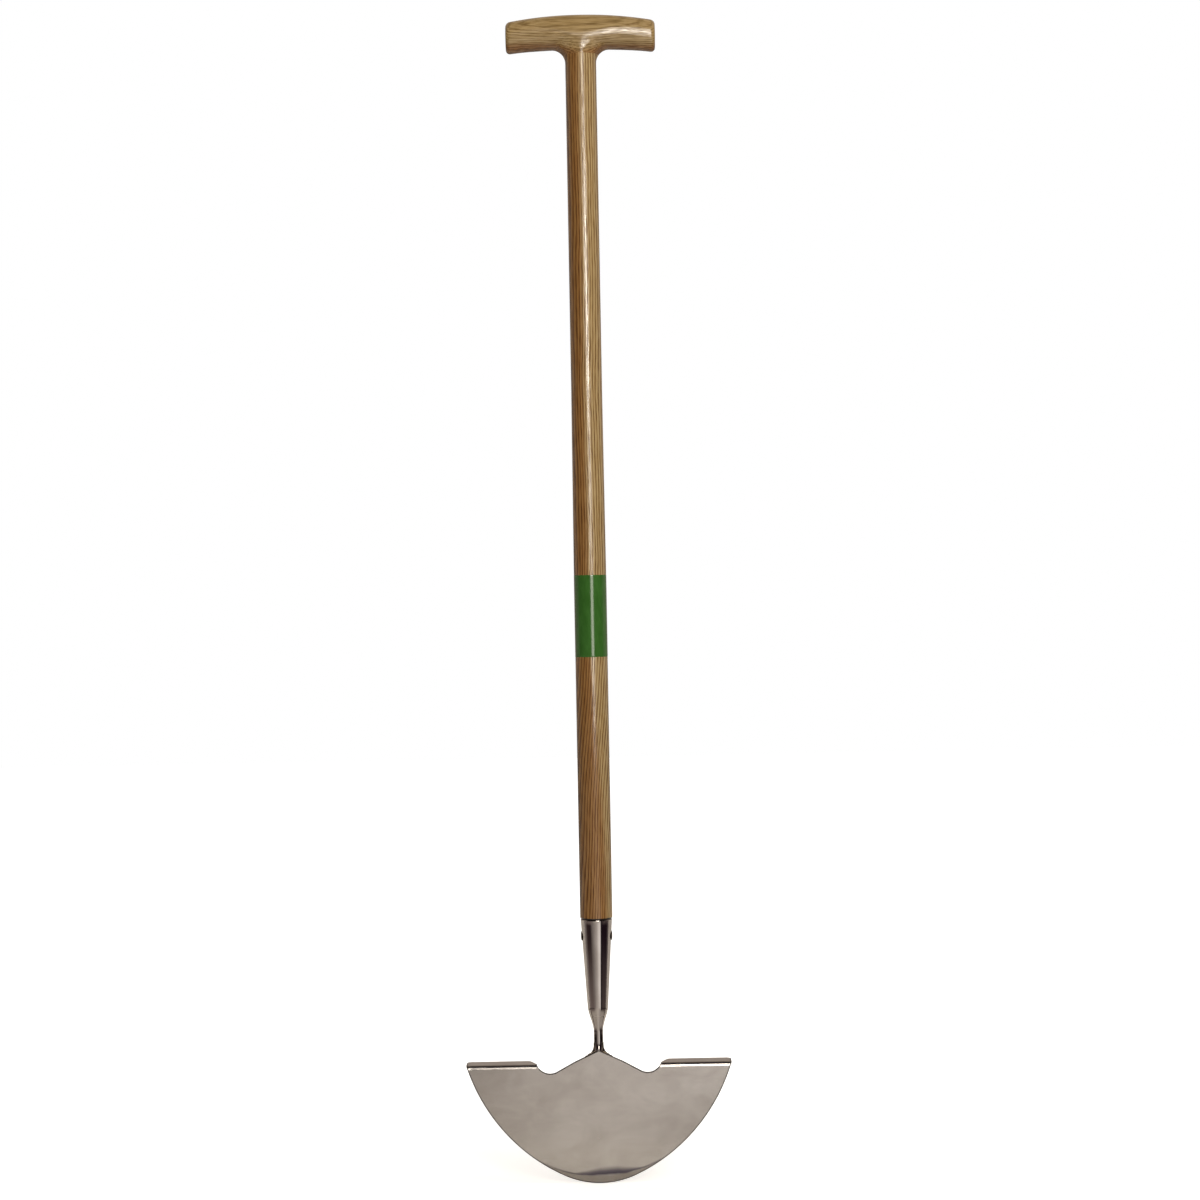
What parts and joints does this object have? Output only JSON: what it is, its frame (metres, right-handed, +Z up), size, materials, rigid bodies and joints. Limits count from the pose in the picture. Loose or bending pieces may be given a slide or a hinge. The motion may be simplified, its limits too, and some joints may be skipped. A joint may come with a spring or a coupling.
{
  "type": "half moon edger",
  "caption": "Long-handled lawn edging tool: arched wooden T grip and round shaft in a riveted steel socket, with a curved cutting blade and folded foot treads.",
  "frame": {"origin": "on the shaft's axis at the level of the cutting tip, with the tool upright", "axes": "+Z runs up the shaft from the cutting tip to the grip, X runs across the blade, -Y is the blade's front face and the treads fold back towards +Y"},
  "size_m": [0.2342, 0.031, 1.0304],
  "materials": {
    "ash": "ash under a clear satin varnish",
    "pin_wood": "bare hardwood, sanded flush",
    "film": "plain dark green film with a gloss surface",
    "satin_steel": "stainless sheet with a satin polish",
    "polished_steel": "stainless steel with a mirror polish",
    "weld": "brushed stainless weld bead"
  },
  "bodies": {
    "root": {"t_handle": "ash", "handle_pin": "pin_wood", "shaft": "ash", "label_band": "film", "socket": "polished_steel", "socket_rivet": "polished_steel", "neck": "polished_steel", "blade": "satin_steel", "weld_back_left": "weld", "weld_back_right": "weld", "weld_front_left": "weld", "weld_front_right": "weld"}
  },
  "joints": []
}
